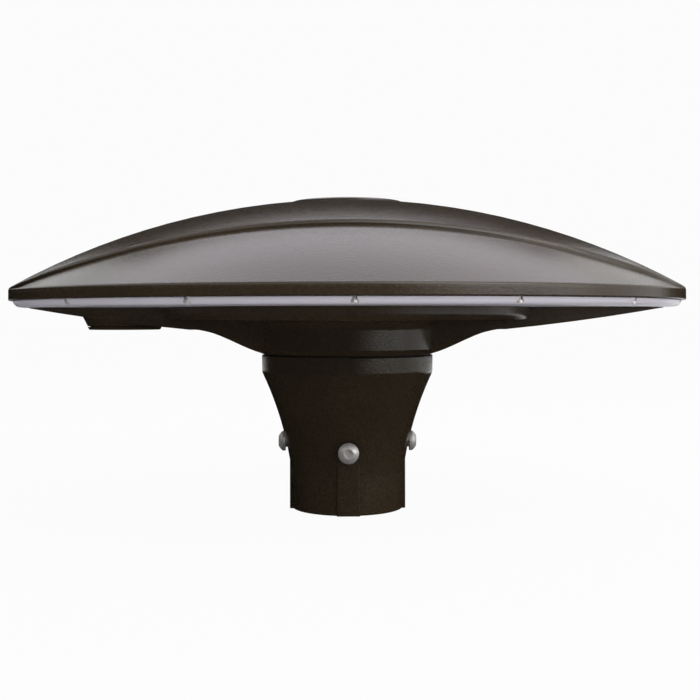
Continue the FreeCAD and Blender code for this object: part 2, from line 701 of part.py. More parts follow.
def add_arms(base):
    waist = f"(({HUB_RADIUS} + {ARM_KNEE}) / 2)"
    middle = f"(({ARM_KNEE} + {ARM_TIP}) / 2)"
    root = arm_section(base, "arm_root", ARM_ROOT, f"{HUB_BOTTOM} + dim.arm_root_lift", "dim.arm_root_chamfer")
    flank = arm_section(base, "arm_flank", HUB_RADIUS, ARM_HUB_BOTTOM, "dim.arm_root_chamfer")
    bend = arm_section(base, "arm_bend", waist, arm_inner_bottom(waist), "dim.arm_chamfer")
    knee = arm_section(base, "arm_knee", ARM_KNEE, ARM_KNEE_BOTTOM, "dim.arm_chamfer")
    knee_again = arm_section(base, "arm_taper", ARM_KNEE, ARM_KNEE_BOTTOM, "dim.arm_chamfer")
    belly = arm_section(base, "arm_belly", middle, arm_outer_bottom(middle), "dim.arm_chamfer")
    tip = arm_section(base, "arm_tip", ARM_TIP, ARM_TIP_BOTTOM, "dim.arm_tip_chamfer")
    inner = feature(base, "AdditiveLoft", root, Sections=[flank, bend, knee])
    outer = feature(base, "AdditiveLoft", knee_again, Sections=[belly, tip])
    polar(base, [inner, outer], OPPOSITE_PAIR)


def make_base():
    base = new_body("base_casting")
    corners = [
        ("0", HUB_BOTTOM),
        (f"{HUB_RADIUS} - dim.hub_chamfer", HUB_BOTTOM),
        (HUB_RADIUS, f"{HUB_BOTTOM} + dim.hub_chamfer"),
        (HUB_RADIUS, DISC_BOTTOM),
        (DISC_RADIUS, DISC_BOTTOM),
        (DISC_RADIUS, DISC_TOP),
        (f"{BAY_OUTER} - dim.base_rim_clearance", DISC_TOP),
        (f"{BAY_OUTER} - dim.base_rim_clearance", BASE_TOP),
        ("0", BASE_TOP),
    ]
    revolve(base, outline(base, "section", "XZ_Plane", corners))
    round_edge(base, "Fillet", DISC_RADIUS, DISC_BOTTOM, "disc_edge_fillet")
    round_edge(base, "Fillet", HUB_RADIUS, DISC_BOTTOM, "hub_root_fillet")
    add_arms(base)

    boss = base.newObject("PartDesign::AdditiveCone", "sensor_boss")
    boss.setExpression("Radius1", SENSOR_BOSS_RADIUS)
    boss.setExpression("Radius2", SENSOR_BOSS_TOP_RADIUS)
    boss.setExpression("Height", "dim.sensor_boss_height")
    boss.setExpression("Placement.Base.x", SENSOR_X)
    boss.setExpression("Placement.Base.z", SENSOR_BOSS_BOTTOM)
    doc.recompute()

    hollow = [
        ("0", HUB_FLOOR),
        (HUB_INNER, HUB_FLOOR),
        (HUB_INNER, BASE_FLOOR),
        ("dim.bay_radius", BASE_FLOOR),
        ("dim.bay_radius", BASE_TOP),
        ("0", BASE_TOP),
    ]
    revolve(base, outline(base, "hollow", "XZ_Plane", hollow), "Groove")
    drill(base, "inlet", [("0", "0")], "dim.inlet_radius", HUB_BOTTOM, "dim.hub_floor_thickness")
    floor = "dim.hub_floor_thickness"
    drill(base, "bolt_holes", [NECK_BOLT], BOLT_HOLE, HUB_BOTTOM, floor, count="dim.neck_bolt_count")
    count = "dim.base_screw_count"
    span = f"{BASE_TOP} - {DISC_BOTTOM}"
    drill(base, "screw_holes", [BASE_SCREW], BASE_HOLE, DISC_BOTTOM, span, count=count)
    sink = "dim.base_screw_head_radius + 2 * dim.screw_hole_clearance"
    drill(base, "screw_sinks", [BASE_SCREW], sink, DISC_BOTTOM, "dim.base_screw_sink", count=count)

    posts = circles(base, "posts", "XY_Plane", tray_posts(), "dim.tray_boss_radius", BASE_FLOOR)
    pad(base, posts, "dim.tray_boss_height")
    depth = "dim.tray_screw_grip + dim.screw_tip_clearance"
    drill(base, "post_holes", tray_posts(), TRAY_HOLE, TRAY_BOTTOM, depth, upward=False)

    port = [(SENSOR_X, "0")]
    depth = f"{SENSOR_WIRE} - {SENSOR_BOSS_BOTTOM}"
    drill(base, "sensor_port", port, "dim.sensor_port_radius", SENSOR_BOSS_BOTTOM, depth)
    place = [("0", SENSOR_WIRE)]
    wire = circles(base, "wire_way", "YZ_Plane", place, "dim.sensor_wire_radius", "-dim.bay_radius")
    pocket(base, wire, f"-{SENSOR_X} - dim.bay_radius")
    depth = "dim.sensor_screw_grip + dim.screw_tip_clearance"
    drill(base, "cover_holes", sensor_screws(), SMALL_HOLE, SENSOR_BOSS_BOTTOM, depth)


def tray_posts():
    across = f"({TRAY_HALF_LENGTH} - dim.tray_boss_inset)"
    along = f"({TRAY_HALF_WIDTH} - dim.tray_boss_inset)"
    return [(f"{i} * {across}", f"{j} * {along}") for i in (-1, 1) for j in (-1, 1)]


def sensor_screws():
    """Centres of the sensor cover's screws, spread evenly about the port."""
    count = SIZES["sensor_screw_count"]
    places = [on_circle(SENSOR_SCREW_CIRCLE, 360 * step / count) for step in range(count)]
    return [(f"{x} + {SENSOR_X}", y) for x, y in places]


def make_sensor_port():
    gasket = new_body("sensor_port_gasket")
    centre = [(SENSOR_X, "0")]
    inner = "(dim.sensor_port_radius + dim.sensor_spigot_clearance)"
    outer = f"{SENSOR_BOSS_RADIUS} - dim.sensor_gasket_inset"
    rim = circles(gasket, "rim", "XY_Plane", centre, outer, SENSOR_COVER_TOP)
    pad(gasket, rim, "dim.sensor_gasket_thickness")
    thickness = "dim.sensor_gasket_thickness"
    drill(gasket, "opening", centre, inner, SENSOR_COVER_TOP, thickness)
    drill(gasket, "screw_holes", sensor_screws(), SMALL_HOLE, SENSOR_COVER_TOP, thickness)

    cover = new_body("sensor_port_cover")
    plate = cover.newObject("PartDesign::AdditiveCone", "sensor_plate")
    plate.setExpression("Radius1", f"{SENSOR_BOSS_RADIUS} - dim.sensor_cover_taper")
    plate.setExpression("Radius2", SENSOR_BOSS_RADIUS)
    plate.setExpression("Height", "dim.sensor_cover_thickness")
    plate.setExpression("Placement.Base.x", SENSOR_X)
    plate.setExpression("Placement.Base.z", SENSOR_COVER_BOTTOM)
    doc.recompute()
    spigot = "(dim.sensor_port_radius - dim.sensor_spigot_clearance)"
    pad(cover, circles(cover, "spigot", "XY_Plane", centre, spigot, SENSOR_COVER_TOP), "dim.sensor_spigot_height")
    bore = f"{spigot} - dim.sensor_spigot_wall"
    drill(cover, "spigot_bore", centre, bore, SENSOR_COVER_TOP, "dim.sensor_spigot_height")
    thickness = "dim.sensor_cover_thickness"
    drill(cover, "screw_holes", sensor_screws(), SMALL_HOLE, SENSOR_COVER_BOTTOM, thickness)
    sink = "dim.small_screw_head_radius + 2 * dim.screw_hole_clearance"
    drill(cover, "screw_sinks", sensor_screws(), sink, SENSOR_COVER_BOTTOM, "dim.sensor_screw_sink")
    seat = f"({SENSOR_COVER_BOTTOM} + dim.sensor_screw_sink)"
    screws(
        "sensor_cover_screws",
        sensor_screws(),
        "dim.small_screw_radius",
        "dim.small_screw_head_radius",
        "dim.sensor_screw_head_height",
        seat,
        f"{SENSOR_BOSS_BOTTOM} - {seat} + dim.sensor_screw_grip",
    )


def make_base_joint():
    inset = "dim.base_gasket_inset"
    gasket = ring("base_gasket", f"dim.bay_radius + {inset}", f"{BAY_OUTER} - {inset}", BASE_TOP, BAY_WALL_BOTTOM)
    count = "dim.base_screw_count"
    drill(gasket, "screw_holes", [BASE_SCREW], BASE_HOLE, BASE_TOP, "dim.base_gasket_thickness", count=count)
    seat = f"({DISC_BOTTOM} + dim.base_screw_sink)"
    screws(
        "base_screws",
        [BASE_SCREW],
        "dim.base_screw_radius",
        "dim.base_screw_head_radius",
        "dim.base_screw_head_height",
        seat,
        f"{BAY_WALL_BOTTOM} + dim.base_screw_grip - {seat}",
        count=count,
    )


# Driver tray in the bay: bracket plate, driver, surge protector and terminal block


def driver_holes():
    across = "((dim.driver_length + dim.driver_foot_tab) / 2)"
    along = "dim.driver_hole_pitch / 2"
    return [(f"{i} * {across}", f"{DRIVER_Y} + {j} * {along}") for i in (-1, 1) for j in (-1, 1)]


def device_holes():
    surge = SURGE_X, SURGE_Y, "(dim.surge_length / 2 - dim.device_hole_inset)"
    terminal = TERMINAL_X, TERMINAL_Y, "(dim.terminal_length / 2 - dim.device_hole_inset)"
    return [(f"{x} + {side} * {half}", y) for x, y, half in (surge, terminal) for side in (-1, 1)]


def make_driver_tray():
    tray = new_body("driver_bracket")
    corners = centred(f"2 * {TRAY_HALF_LENGTH}", f"2 * {TRAY_HALF_WIDTH}")
    plate = outline(tray, "plate", "XY_Plane", corners, offset=TRAY_BOTTOM)
    pad(tray, plate, "dim.tray_thickness")
    thickness = "dim.tray_thickness"
    drill(tray, "post_holes", tray_posts(), TRAY_HOLE, TRAY_BOTTOM, thickness)
    drill(tray, "driver_holes", driver_holes(), TRAY_HOLE, TRAY_BOTTOM, thickness)
    drill(tray, "device_holes", device_holes(), SMALL_HOLE, TRAY_BOTTOM, thickness)
    wire = [("0", SURGE_Y)]
    drill(tray, "wire_hole", wire, "dim.tray_wire_hole_radius", TRAY_BOTTOM, thickness)
    head = ("dim.tray_screw_radius", "dim.tray_screw_head_radius", "dim.tray_screw_head_height")
    reach = "dim.tray_thickness + dim.tray_screw_grip"
    screws("bracket_screws", tray_posts(), *head, TRAY_TOP, reach, head_down=False)

    driver = new_body("driver_case")
    foot = centred("(dim.driver_length + 2 * dim.driver_foot_tab)", "dim.driver_width", y=DRIVER_Y)
    pad(driver, outline(driver, "foot", "XY_Plane", foot, offset=TRAY_TOP), "dim.driver_foot_thickness")
    case = centred("dim.driver_length", "dim.driver_width", y=DRIVER_Y)
    pad(driver, outline(driver, "case", "XY_Plane", case, offset=TRAY_TOP), "dim.driver_height")
    drill(driver, "holes", driver_holes(), TRAY_HOLE, TRAY_TOP, "dim.driver_foot_thickness")
    seat = f"({TRAY_TOP} + dim.driver_foot_thickness)"
    reach = "dim.driver_foot_thickness + dim.tray_thickness"
    screws("driver_screws", driver_holes(), *head, seat, reach, head_down=False)

    depth = "dim.device_screw_grip + dim.screw_tip_clearance"
    surge = new_body("surge_protector")
    block = centred("dim.surge_length", "dim.surge_width", SURGE_X, SURGE_Y)
    pad(surge, outline(surge, "case", "XY_Plane", block, offset=TRAY_TOP), "dim.surge_height")
    drill(surge, "holes", device_holes()[:2], SMALL_HOLE, TRAY_TOP, depth)

    terminal = new_body("terminal_block")
    front = f"{TERMINAL_Y} - dim.terminal_width / 2"
    back = f"{TERMINAL_Y} + dim.terminal_width / 2"
    step = f"{front} + dim.terminal_step"
    top = f"{TRAY_TOP} + dim.terminal_height"
    shelf = f"{TRAY_TOP} + dim.terminal_height / 2"
    stair = [(front, TRAY_TOP), (back, TRAY_TOP), (back, top), (step, top), (step, shelf), (front, shelf)]
    start = f"{TERMINAL_X} - dim.terminal_length / 2"
    pad(terminal, outline(terminal, "case", "YZ_Plane", stair, offset=start), "dim.terminal_length")
    drill(terminal, "holes", device_holes()[2:], SMALL_HOLE, TRAY_TOP, depth)
    small = ("dim.small_screw_radius", "dim.small_screw_head_radius", "dim.small_screw_head_height")
    screws("device_screws", device_holes(), *small, TRAY_BOTTOM, "dim.tray_thickness + dim.device_screw_grip")


# Lens ring with a pocket and an open slot for each screw, and its two gaskets


def make_lens():
    lens = new_body("lens_ring")
    floor_top = f"{DISC_TOP} + dim.lens_wall"
    corners = [
        (LENS_INNER, DISC_TOP),
        (f"{LENS_OUTER} - dim.lens_corner_run", DISC_TOP),
        (LENS_OUTER, f"{DISC_TOP} + dim.lens_corner_rise"),
        (LENS_OUTER, LENS_TOP),
        (LENS_FLANGE_INNER, LENS_TOP),
        (LENS_FLANGE_INNER, floor_top),
        (LENS_INNER_WALL, floor_top),
        (LENS_INNER_WALL, LENS_INNER_TOP),
        (LENS_INNER, LENS_INNER_TOP),
    ]
    revolve(lens, outline(lens, "section", "XZ_Plane", corners, {1: ("dim.lens_corner_sweep", "left")}))
    edge = f"{LENS_OUTER} + dim.lens_pocket_clearance"
    wide = "(dim.lens_screw_head_radius + dim.lens_pocket_clearance)"
    half = "(dim.lens_screw_radius + dim.lens_screw_slot_clearance)"
    cuts = []
    for name, reach, depth, upward in (
        ("pocket", wide, "dim.lens_height", False),
        ("slot", half, "dim.lens_flange_thickness", True),
    ):
        notch = [
            (f"-{reach}", LENS_SCREW_CIRCLE),
            ("0", f"{LENS_SCREW_CIRCLE} - {reach}"),
            (reach, LENS_SCREW_CIRCLE),
            (reach, edge),
            (f"-{reach}", edge),
        ]
        round_end = {0: (reach, "left"), 1: (reach, "left")}
        mouth = outline(lens, name, "XY_Plane", notch, round_end, LENS_SCREW_SEAT)
        cuts.append(pocket(lens, mouth, depth, upward))
    polar(lens, cuts, "dim.lens_screw_count")

    gasket_outer = f"{LENS_SCREW_CIRCLE} - dim.lens_screw_radius - dim.outer_gasket_clearance"
    ring("outer_lens_gasket", LENS_FLANGE_INNER, gasket_outer, LENS_TOP, RIM_BOTTOM)
    ring("inner_lens_gasket", LENS_INNER, LENS_INNER_WALL, LENS_INNER_TOP, PLATE_BOTTOM)
    screws(
        "lens_screws",
        [LENS_SCREW],
        "dim.lens_screw_radius",
        "dim.lens_screw_head_radius",
        "dim.lens_screw_head_height",
        LENS_SCREW_SEAT,
        f"{RIM_BOTTOM} + dim.lens_screw_grip - {LENS_SCREW_SEAT}",
        count="dim.lens_screw_count",
    )


# LED plate with two crescent boards and their emitters


def make_led_plate():
    clearance = "dim.led_plate_clearance"
    plate = ring("led_plate", f"{BAY_OUTER} + {clearance}", f"{RIM_INNER} - {clearance}", PLATE_BOTTOM, LEDGE)
    count = "dim.plate_screw_count"
    thickness = "dim.led_plate_thickness"
    drill(plate, "screw_holes", [PLATE_SCREW], SMALL_HOLE, PLATE_BOTTOM, thickness, count=count)
    for side in (-1, 1):
        holes = [board_screw(side, step) for step in board_screw_steps()]
        depth = "dim.board_screw_grip + dim.screw_tip_clearance"
        drill(plate, f"board_holes_{side + 1}", holes, SMALL_HOLE, PLATE_BOTTOM, depth)
    small = ("dim.small_screw_radius", "dim.small_screw_head_radius", "dim.small_screw_head_height")
    reach = "dim.led_plate_thickness + dim.plate_screw_grip"
    screws("led_plate_screws", [PLATE_SCREW], *small, PLATE_BOTTOM, reach, count=count)


def board_screw_steps():
    """Places of a board's screws along its arc, from -1 at one end to 1 at the other."""
    last = SIZES["board_screw_count"] - 1
    return [2 * index / last - 1 for index in range(last + 1)]


def board_screw(side, step):
    """A board screw's centre on the board's middle line; side -1 is the front and 1 the rear."""
    turn = f"({90 * side} + {step} * dim.board_screw_half_angle) * 1 deg"
    return (f"{BOARD_MIDDLE} * cos({turn})", f"{BOARD_MIDDLE} * sin({turn})")


def make_led_board(place, side):
    """A crescent of the front or rear half, with its two rows of emitters."""
    board = new_body(f"led_board_{place}")
    half = "dim.led_board_half_angle"
    ends = [f"({90 * side} - {half}) * 1 deg", f"{90 * side} * 1 deg", f"({90 * side} + {half}) * 1 deg"]
    inner = [(f"{BOARD_INNER} * cos({a})", f"{BOARD_INNER} * sin({a})") for a in ends]
    outer = [(f"{BOARD_OUTER} * cos({a})", f"{BOARD_OUTER} * sin({a})") for a in ends]
    corners = inner + outer[::-1]
    arcs = {
        0: (BOARD_INNER, "left"),
        1: (BOARD_INNER, "left"),
        3: (BOARD_OUTER, "right"),
        4: (BOARD_OUTER, "right"),
    }
    pad(board, outline(board, "plan", "XY_Plane", corners, arcs, BOARD_BOTTOM), "dim.led_board_thickness")
    holes = [board_screw(side, step) for step in board_screw_steps()]
    drill(board, "holes", holes, SMALL_HOLE, BOARD_BOTTOM, "dim.led_board_thickness")

    emitters = new_body(f"led_emitters_{place}")
    chips = []
    rows = {"inner": f"{BOARD_INNER} + dim.emitter_row_inset", "outer": f"{BOARD_OUTER} - dim.emitter_row_inset"}
    for row, radius in rows.items():
        chip = centred("dim.emitter_side", "dim.emitter_side", x=radius)
        sketch = outline(emitters, f"{row}_chip", "XY_Plane", chip, offset=BOARD_BOTTOM)
        chips.append(pad(emitters, sketch, "dim.emitter_height", downward=True))
    polar(emitters, chips, "dim.emitter_count", "2 * dim.emitter_half_angle")
    emitters.setExpression("Placement.Rotation.Yaw", f"{90 * side} - dim.emitter_half_angle")


def make_board_screws():
    holes = [board_screw(side, step) for side in (-1, 1) for step in board_screw_steps()]
    small = ("dim.small_screw_radius", "dim.small_screw_head_radius", "dim.small_screw_head_height")
    screws("led_board_screws", holes, *small, BOARD_BOTTOM, "dim.led_board_thickness + dim.board_screw_grip")


# Dome: ball-topped dish with a rim, and a sunk panel in front of and behind a raised band


def make_dome():
    blank = doc.addObject("PartDesign::Body", "dome_blank")
    outer_ledge = f"({RIM_INNER} - dim.ledge_width)"
    inner_ledge = f"({BAY_OUTER} + dim.ledge_width)"
    wall = "dim.dome_wall"
    corners = [
        (CROWN_PORT, CROWN_SEAT),
        (CROWN_LAND, CROWN_SEAT),
        (CROWN_LAND, dome_height(CROWN_LAND)),
        ("dim.dome_radius", RIM_TOP),
        ("dim.dome_radius", RIM_BOTTOM),
        (RIM_INNER, RIM_BOTTOM),
        (RIM_INNER, LEDGE),
        (outer_ledge, LEDGE),
        (outer_ledge, dome_height(outer_ledge, PANEL_INSIDE)),
        (inner_ledge, dome_height(inner_ledge, PANEL_INSIDE)),
        (inner_ledge, LEDGE),
        (BAY_OUTER, LEDGE),
        (BAY_OUTER, BAY_WALL_BOTTOM),
        ("dim.bay_radius", BAY_WALL_BOTTOM),
        ("dim.bay_radius", dome_height("dim.bay_radius", wall)),
        (CROWN_BOSS, dome_height(CROWN_BOSS, wall)),
        (CROWN_BOSS, CROWN_BOSS_BOTTOM),
        (CROWN_PORT, CROWN_BOSS_BOTTOM),
    ]
    arcs = {
        2: (BALL_RADIUS, "right"),
        8: (f"{BALL_RADIUS} - {PANEL_INSIDE}", "left"),
        14: (f"{BALL_RADIUS} - {wall}", "left"),
    }
    revolve(blank, outline(blank, "section", "XZ_Plane", corners, arcs))
    round_edge(blank, "Fillet", "dim.dome_radius", RIM_TOP, "rim_shoulder_rounding")
    round_edge(blank, "Fillet", "dim.dome_radius", RIM_BOTTOM, "rim_lower_rounding")
    grip = "dim.lens_screw_grip + dim.screw_tip_clearance"
    drill(blank, "lens_holes", [LENS_SCREW], LENS_HOLE, RIM_BOTTOM, grip, count="dim.lens_screw_count")
    grip = "dim.plate_screw_grip + dim.screw_tip_clearance"
    drill(blank, "plate_holes", [PLATE_SCREW], SMALL_HOLE, LEDGE, grip, count="dim.plate_screw_count")
    grip = "dim.base_screw_grip + dim.screw_tip_clearance"
    drill(blank, "base_holes", [BASE_SCREW], BASE_HOLE, BAY_WALL_BOTTOM, grip, count="dim.base_screw_count")
    through = "dim.crown_boss_thickness"
    drill(blank, "crown_holes", [CROWN_SCREW], CROWN_HOLE, CROWN_BOSS_BOTTOM, through, count="dim.crown_screw_count")

    over = doc.addObject("PartDesign::Body", "panel_cut")
    inside = "(dim.ridge_offset / 2)"
    above = f"{APEX} + dim.crown_height"
    beyond = "dim.dome_radius + dim.rim_lip_width"
    lip = f"({RIM_TOP} - dim.rim_lip_drop)"
    lip_edge = "(dim.dome_radius + dim.rim_lip_margin)"
    cut = [
        (inside, dome_height(inside, "dim.ridge_step")),
        (PANEL_FOOT_RADIUS, PANEL_FOOT),
        (PANEL_FOOT_RADIUS, lip),
        (f"{lip_edge} - dim.rim_lip_rounding", lip),
        (lip_edge, f"{lip} - dim.rim_lip_rounding"),
        (beyond, f"{lip} - dim.rim_lip_rounding"),
        (beyond, above),
        (inside, above),
    ]
    arcs = {0: (f"{BALL_RADIUS} - dim.ridge_step", "right"), 3: ("dim.rim_lip_rounding", "right")}
    revolve(over, outline(over, "section", "XZ_Plane", cut, arcs))
    panels = doc.addObject("Part::Cut", "panels")
    panels.Base = over
    panels.Tool = make_band(above)
    dome = doc.addObject("Part::Cut", "dome")
    dome.Base = blank
    dome.Tool = panels
    doc.recompute()
    nodes.append(dome)


def is_upright(edge):
    return edge.BoundBox.XLength + edge.BoundBox.YLength < edge.BoundBox.ZLength


def make_band(above):
    """The raised band that the panels leave: its plan, under the ball, with the ridges rounded over."""
    band = doc.addObject("PartDesign::Body", "band")
    corners = [
        ("-dim.ridge_bend", f"-{RIDGE_BEND_Y}"),
        ("dim.ridge_bend", f"-{RIDGE_BEND_Y}"),
        (RIDGE_END_X, f"-{RIDGE_END_Y}"),
        (RIDGE_TIP, "0"),
        (RIDGE_END_X, RIDGE_END_Y),
        ("dim.ridge_bend", RIDGE_BEND_Y),
        ("-dim.ridge_bend", RIDGE_BEND_Y),
        (f"-{RIDGE_END_X}", RIDGE_END_Y),
        (f"-{RIDGE_TIP}", "0"),
        (f"-{RIDGE_END_X}", f"-{RIDGE_END_Y}"),
    ]
    arcs = {corner: ("dim.ridge_end_sweep", "left") for corner in (1, 4, 6, 9)}
    arcs.update({corner: ("dim.ridge_sweep", "left") for corner in (0, 5)})
    pad(band, outline(band, "plan", "XY_Plane", corners, arcs), above)
    skim = f"({BALL_RADIUS} + dim.ridge_skim)"
    foot = f"({APEX} - {BALL_RADIUS} + sqrt({skim}^2 - {RIDGE_TIP}^2))"
    crest = f"{APEX} + dim.ridge_skim"
    clear = f"{RIDGE_TIP} + dim.rim_lip_width"
    over_ball = [("0", crest), (RIDGE_TIP, foot), (clear, foot), (clear, above), ("0", above)]
    revolve(band, outline(band, "top", "XZ_Plane", over_ball, {0: (skim, "right")}), "Groove")
    base = band.Tip
    ridges = []
    for index, edge in enumerate(base.Shape.Edges, start=1):
        middle = edge.valueAt((edge.FirstParameter + edge.LastParameter) / 2)
        on_ball = middle.z > number(foot) and not is_upright(edge)
        if on_ball and abs(middle.y) > number(RIDGE_END_Y):
            ridges.append(f"Edge{index}")
    rounded = band.newObject("PartDesign::Fillet", "ridge_rounding")
    rounded.Base = (base, ridges)
    rounded.setExpression("Radius", "dim.ridge_rounding")
    doc.recompute()
    return band


# Crown: cap on a gasket over the port in the apex, held by screws from inside


def make_crown():
    cap = new_body("crown_cap")
    skirt_bottom = f"{CROWN_SEAT} + dim.crown_skirt_gap"
    corners = [
        ("0", CAP_BOTTOM),
        (CROWN_SKIRT_INNER, CAP_BOTTOM),
        (CROWN_SKIRT_INNER, skirt_bottom),
        ("dim.crown_radius", skirt_bottom),
        ("dim.crown_radius", f"{CROWN_SEAT} + dim.crown_edge_height"),
        (CAP_EDGE, f"{CROWN_SEAT} + dim.crown_bevel_height"),
        ("0", CAP_TOP),
    ]
    revolve(cap, outline(cap, "section", "XZ_Plane", corners, {5: (CAP_SWEEP, "left")}))
    count = "dim.crown_screw_count"
    depth = "dim.crown_screw_grip + dim.screw_tip_clearance"
    drill(cap, "holes", [CROWN_SCREW], CROWN_HOLE, CAP_BOTTOM, depth, count=count)
    gasket = ring("crown_gasket", CROWN_GASKET_INNER, CROWN_GASKET_OUTER, CROWN_SEAT, CAP_BOTTOM)
    drill(gasket, "holes", [CROWN_SCREW], CROWN_HOLE, CROWN_SEAT, "dim.crown_gasket_thickness", count=count)
    screws(
        "crown_cap_screws",
        [CROWN_SCREW],
        "dim.crown_screw_radius",
        "dim.crown_screw_head_radius",
        "dim.crown_screw_head_height",
        CROWN_BOSS_BOTTOM,
        f"{CAP_BOTTOM} + dim.crown_screw_grip - {CROWN_BOSS_BOTTOM}",
        count=count,
    )


make_neck()
make_set_screw("set_screw_front", Vector(0, -1, 0), "dim.front_screw_height")
make_set_screw("set_screw_rear", Vector(0, 1, 0), "dim.front_screw_height")
make_set_screw("set_screw_left", Vector(-1, 0, 0), "dim.side_screw_height")
make_set_screw("set_screw_right", Vector(1, 0, 0), "dim.side_screw_height")
make_neck_joint()
make_base()
make_sensor_port()
make_base_joint()
make_driver_tray()
make_lens()
make_led_plate()
make_led_board("front", -1)
make_led_board("rear", 1)
make_board_screws()
make_dome()
make_crown()
doc.recompute()

for item in doc.Objects:
    if "Invalid" in item.State or "Error" in item.State:
        raise RuntimeError(f"{item.Name} failed: {item.State}")
for node in nodes:
    if node.Shape.isNull() or not node.Shape.isValid() or not node.Shape.Solids:
        raise RuntimeError(f"{node.Label} has no valid solid")

os.makedirs("parts", exist_ok=True)
for node in nodes:
    node.Shape.exportStep(f"parts/{node.Label}.step")
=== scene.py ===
import math

import bpy
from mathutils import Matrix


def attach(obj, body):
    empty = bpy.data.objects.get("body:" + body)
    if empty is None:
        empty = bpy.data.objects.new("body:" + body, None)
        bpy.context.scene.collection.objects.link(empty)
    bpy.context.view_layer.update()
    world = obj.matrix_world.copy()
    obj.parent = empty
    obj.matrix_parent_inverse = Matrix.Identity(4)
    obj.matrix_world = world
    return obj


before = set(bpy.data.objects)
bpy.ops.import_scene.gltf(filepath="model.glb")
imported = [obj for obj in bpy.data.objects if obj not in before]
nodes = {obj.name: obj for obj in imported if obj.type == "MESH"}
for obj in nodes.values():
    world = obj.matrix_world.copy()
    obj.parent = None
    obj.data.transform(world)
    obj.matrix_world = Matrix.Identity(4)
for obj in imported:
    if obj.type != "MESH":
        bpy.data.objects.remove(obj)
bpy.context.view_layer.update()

# Neck: the slip fitter that drops over the post, a cast aluminium sleeve with a flared collar.
# It is sprayed with a fine-texture bronze powder coat and baked, which leaves a satin, slightly pebbled skin.


def hex_colour(code):
    """Linear RGBA from an sRGB hex value."""
    channels = [int(code[i : i + 2], 16) / 255 for i in (1, 3, 5)]
    linear = [c / 12.92 if c <= 0.04045 else ((c + 0.055) / 1.055) ** 2.4 for c in channels]
    return (*linear, 1.0)


def add(tree, kind, inputs, **settings):
    """One node with its settings; an input is a plain value or another node's output."""
    made = tree.nodes.new(kind)
    for name, value in settings.items():
        setattr(made, name, value)
    for name, value in inputs.items():
        socket = made.inputs[name]
        if isinstance(value, bpy.types.NodeSocket):
            tree.links.new(value, socket)
        else:
            socket.default_value = value
    return made


def start_finish(name):
    """An empty material and its tree, with the piece's own coordinates."""
    material = bpy.data.materials.new(name)
    material.use_nodes = True
    tree = material.node_tree
    tree.nodes.clear()
    place = add(tree, "ShaderNodeTexCoord", {}).outputs["Object"]
    return material, tree, place


def end_finish(tree, inputs):
    """The shader of a finish and the material's output."""
    shader = add(tree, "ShaderNodeBsdfPrincipled", inputs)
    add(tree, "ShaderNodeOutputMaterial", {"Surface": shader.outputs["BSDF"]})


def dress(material, *names):
    """Give CAD nodes a finish in place of their plain one."""
    for name in names:
        mesh = nodes[name].data
        mesh.materials.clear()
        mesh.materials.append(material)


# Pebbles of the coat, in metres: the real ones are about 0.4 mm wide, drawn as 1.9 mm so that they show.
COAT_PEBBLE = 0.0019
COAT_PEBBLE_RISE = 0.0002
# Slow drift of the sprayed film's colour, about the width of a hand.
COAT_DRIFT = 0.09
COAT_DARK = hex_colour("#322a1f")
COAT_LIGHT = hex_colour("#44392b")
# Where the mottle, which is drift times pebbles, has its dark and its light shade.
MOTTLE_DARK = 0.12
MOTTLE_LIGHT = 0.42

powder_coat, tree, place = start_finish("bronze_powder_coat_on_aluminium")
pebbles = add(
    tree,
    "ShaderNodeTexNoise",
    {"Vector": place, "Scale": 1 / COAT_PEBBLE, "Detail": 3.0, "Roughness": 0.6},
).outputs["Fac"]
drift = add(
    tree,
    "ShaderNodeTexNoise",
    {"Vector": place, "Scale": 1 / COAT_DRIFT, "Detail": 4.0},
).outputs["Fac"]
mottle = add(tree, "ShaderNodeMath", {0: drift, 1: pebbles}, operation="MULTIPLY")
tint = add(tree, "ShaderNodeValToRGB", {"Fac": mottle.outputs["Value"]})
dark_stop, light_stop = tint.color_ramp.elements
dark_stop.position = MOTTLE_DARK
dark_stop.color = COAT_DARK
light_stop.position = MOTTLE_LIGHT
light_stop.color = COAT_LIGHT
dullness = add(
    tree,
    "ShaderNodeMapRange",
    {"Value": pebbles, "From Min": 0.3, "From Max": 0.7, "To Min": 0.16, "To Max": 0.25},
)
relief = add(tree, "ShaderNodeBump", {"Height": pebbles, "Strength": 0.7, "Distance": COAT_PEBBLE_RISE})
end_finish(
    tree,
    {
        "Base Color": tint.outputs["Color"],
        "Roughness": dullness.outputs["Result"],
        "IOR": 1.45,
        "Normal": relief.outputs["Normal"],
    },
)
dress(powder_coat, "neck")

# Set screws: four stainless button heads with a hex socket, turned from bar, that clamp the post.
# They are tumbled after turning, so they are bright but smeared, and scatter part of the light.

# Width of the smears, in metres.
STAINLESS_SMEAR = 0.0012
STAINLESS = hex_colour("#f6f4f0")
STAINLESS_DULL = hex_colour("#e0ddd8")

stainless, tree, place = start_finish("turned_stainless_steel")
smear = add(
    tree,
    "ShaderNodeTexNoise",
    {"Vector": place, "Scale": 1 / STAINLESS_SMEAR, "Detail": 2.0},
).outputs["Fac"]
bright = add(
    tree,
    "ShaderNodeMix",
    {"Factor": smear, "A": STAINLESS_DULL, "B": STAINLESS},
    data_type="RGBA",
)
polish = add(tree, "ShaderNodeMapRange", {"Value": smear, "To Min": 0.4, "To Max": 0.55})
end_finish(
    tree,
    {
        "Base Color": bright.outputs["Result"],
        "Metallic": 0.6,
        "Roughness": polish.outputs["Result"],
    },
)
dress(stainless, "set_screw_front", "set_screw_rear", "set_screw_left", "set_screw_right")

